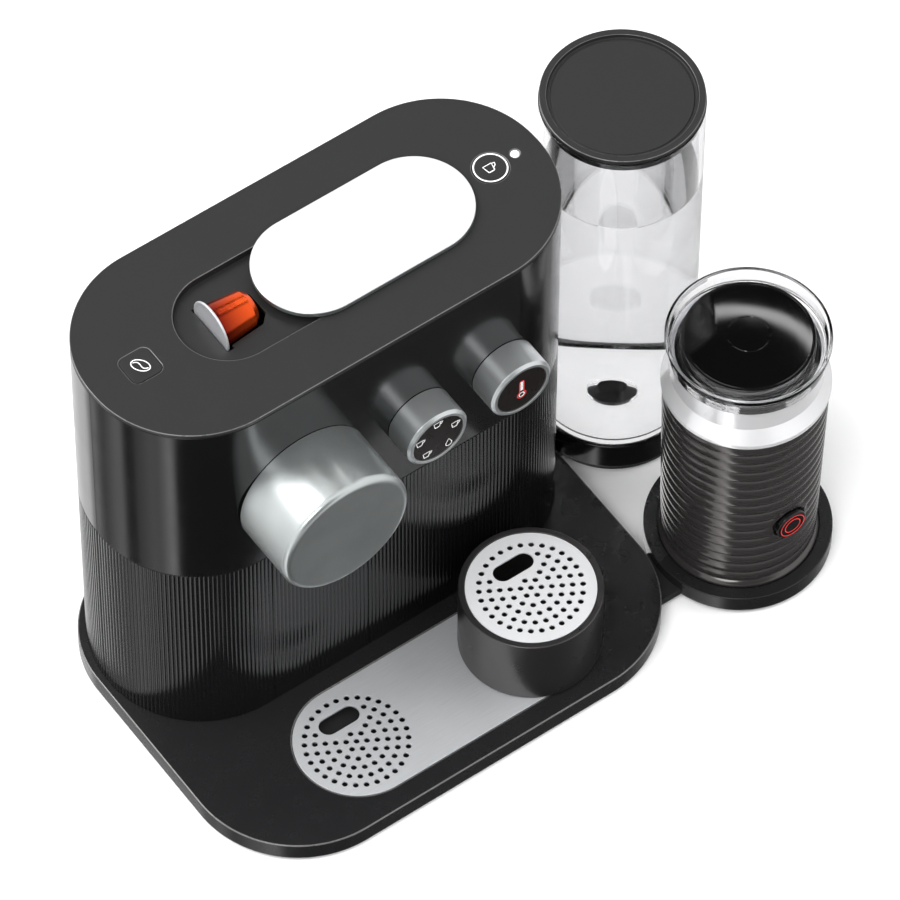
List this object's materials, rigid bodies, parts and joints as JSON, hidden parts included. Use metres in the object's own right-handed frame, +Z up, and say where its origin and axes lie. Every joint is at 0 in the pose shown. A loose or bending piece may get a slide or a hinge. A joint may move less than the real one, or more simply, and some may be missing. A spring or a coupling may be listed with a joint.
{
  "type": "pod coffee machine",
  "caption": "Table-top pod coffee machine with sliding capsule lid, outlet head, two dials, drip plate, movable cup stand, swing-arm water tank and milk frother.",
  "frame": {"origin": "centre of the underside of the bounding box, on the surface it stands on", "axes": "+Z up, front of the machine towards -Y, water tank and frother towards +X"},
  "size_m": [0.3922, 0.2284, 0.2905],
  "materials": {
    "gloss_black": "piano black, polished",
    "satin_black": "satin black",
    "satin_grey": "satin dark grey lacquer",
    "matt_black": "fine matt",
    "satin_metal": "bead-blasted satin",
    "brushed_steel": "fine brushed",
    "inner_steel": "plain machined",
    "polished_white": "polished pearl white",
    "clear_plastic": "clear moulded",
    "rubber": "soft matt",
    "capsule_orange": "lacquered satin",
    "capsule_foil": "rolled foil",
    "white_light": "light diffuser",
    "circuit_board": "solder mask",
    "brass": "plain drawn"
  },
  "bodies": {
    "machine": {"base_shell": "satin_black", "base_foot_1": "rubber", "base_foot_2": "rubber", "base_foot_3": "rubber", "base_foot_4": "rubber", "arm_pivot_pin": "inner_steel", "frother_bridge": "matt_black", "drip_plate": "brushed_steel", "drip_tray": "matt_black", "front_shell": "gloss_black", "rear_shell": "gloss_black", "skirt_front_left": "gloss_black", "skirt_front_right": "gloss_black", "skirt_rear": "gloss_black", "top_plate": "satin_grey", "badge": "satin_grey", "status_light": "white_light", "track_tray": "satin_grey", "outlet_drum": "satin_metal", "coffee_spout": "matt_black", "coffee_pipe": "rubber", "brew_frame": "matt_black", "chassis": "matt_black", "pump": "inner_steel", "heater_block": "inner_steel", "hot_water_pipe": "brass", "water_hose": "rubber", "control_board": "circuit_board", "dial_board": "circuit_board", "power_inlet": "matt_black", "frother_base": "satin_black", "frother_foot": "rubber"},
    "lid": {"sliding_lid": "polished_white", "lid_carriage": "matt_black"},
    "capsule": {"capsule_rim": "capsule_foil", "capsule_cup": "capsule_orange"},
    "injector": {"injection_head": "inner_steel"},
    "coffee_key": {"coffee_button": "satin_grey"},
    "size_dial": {"size_dial_ring": "satin_metal", "size_dial_face": "gloss_black"},
    "temp_dial": {"temp_dial_ring": "satin_metal", "temp_dial_face": "gloss_black"},
    "drawer": {"drawer_front": "gloss_black", "capsule_bin": "matt_black"},
    "cup_stand": {"stand_cup": "satin_black", "stand_grid": "brushed_steel"},
    "swing_arm": {"tank_arm": "matt_black", "arm_foot": "rubber", "tank_dock": "gloss_black"},
    "tank": {"tank_body": "clear_plastic", "tank_valve": "matt_black"},
    "tank_cover": {"tank_lid": "satin_grey"},
    "jug": {"jug_shell": "gloss_black", "jug_neck": "brushed_steel", "jug_liner": "matt_black"},
    "jug_lid": {"frother_lid_ring": "clear_plastic", "frother_lid_disc": "gloss_black", "frother_lid_seal": "rubber"},
    "whisk": {"whisk": "inner_steel"},
    "jug_key": {"frother_button": "gloss_black"}
  },
  "joints": [
    {"name": "lid_slide", "type": "slide", "parent": "machine", "child": "lid", "axis": [1, 0, 0], "range_m": [-0.052, 0]},
    {"name": "capsule_drop", "type": "slide", "parent": "machine", "child": "capsule", "axis": [0, 0, 1], "range_m": [-0.0416, 0]},
    {"name": "injector_slide", "type": "slide", "parent": "machine", "child": "injector", "axis": [1, 0, 0], "range_m": [-0.00416, 0]},
    {"name": "coffee_key_press", "type": "slide", "parent": "machine", "child": "coffee_key", "axis": [0, 0, -1], "range_m": [0, 0.001], "stiffness_N_per_m": 900, "springref_m": -0.0006},
    {"name": "size_dial_turn", "type": "hinge", "parent": "machine", "child": "size_dial", "pos_m": [-0.03263, -0.01265, 0.2], "axis": [0, -1, 0], "continuous": true},
    {"name": "temp_dial_turn", "type": "hinge", "parent": "machine", "child": "temp_dial", "pos_m": [0.02088, -0.01265, 0.2], "axis": [0, -1, 0], "range_deg": [-60, 60]},
    {"name": "drawer_slide", "type": "slide", "parent": "machine", "child": "drawer", "axis": [0, -1, 0], "range_m": [0, 0.105]},
    {"name": "cup_stand_slide", "type": "slide", "parent": "machine", "child": "cup_stand", "axis": [1, 0, 0], "range_m": [-0.1138, 0]},
    {"name": "tank_swing", "type": "hinge", "parent": "machine", "child": "swing_arm", "pos_m": [0.03128, 0.0536, 0.005], "axis": [0, 0, 1], "range_deg": [0, 90]},
    {"name": "tank_lift", "type": "slide", "parent": "swing_arm", "child": "tank", "axis": [0, 0, 1], "range_m": [0, 0.1]},
    {"name": "tank_cover_lift", "type": "slide", "parent": "tank", "child": "tank_cover", "axis": [0, 0, 1], "range_m": [0, 0.05]},
    {"name": "jug_lift", "type": "slide", "parent": "machine", "child": "jug", "axis": [0, 0, 1], "range_m": [0, 0.08]},
    {"name": "jug_lid_lift", "type": "slide", "parent": "jug", "child": "jug_lid", "axis": [0, 0, 1], "range_m": [0, 0.05]},
    {"name": "whisk_spin", "type": "hinge", "parent": "jug", "child": "whisk", "pos_m": [0.14472, -0.0628, 0.04], "axis": [0, 0, 1], "continuous": true},
    {"name": "jug_key_press", "type": "slide", "parent": "jug", "child": "jug_key", "axis": [0, 1, 0], "range_m": [0, 0.0008], "stiffness_N_per_m": 600, "springref_m": -0.0005}
  ],
  "couplings": [
    {"joint": "capsule_drop", "follows": "lid_slide", "ratio": 0.8},
    {"joint": "injector_slide", "follows": "lid_slide", "ratio": 0.08}
  ]
}
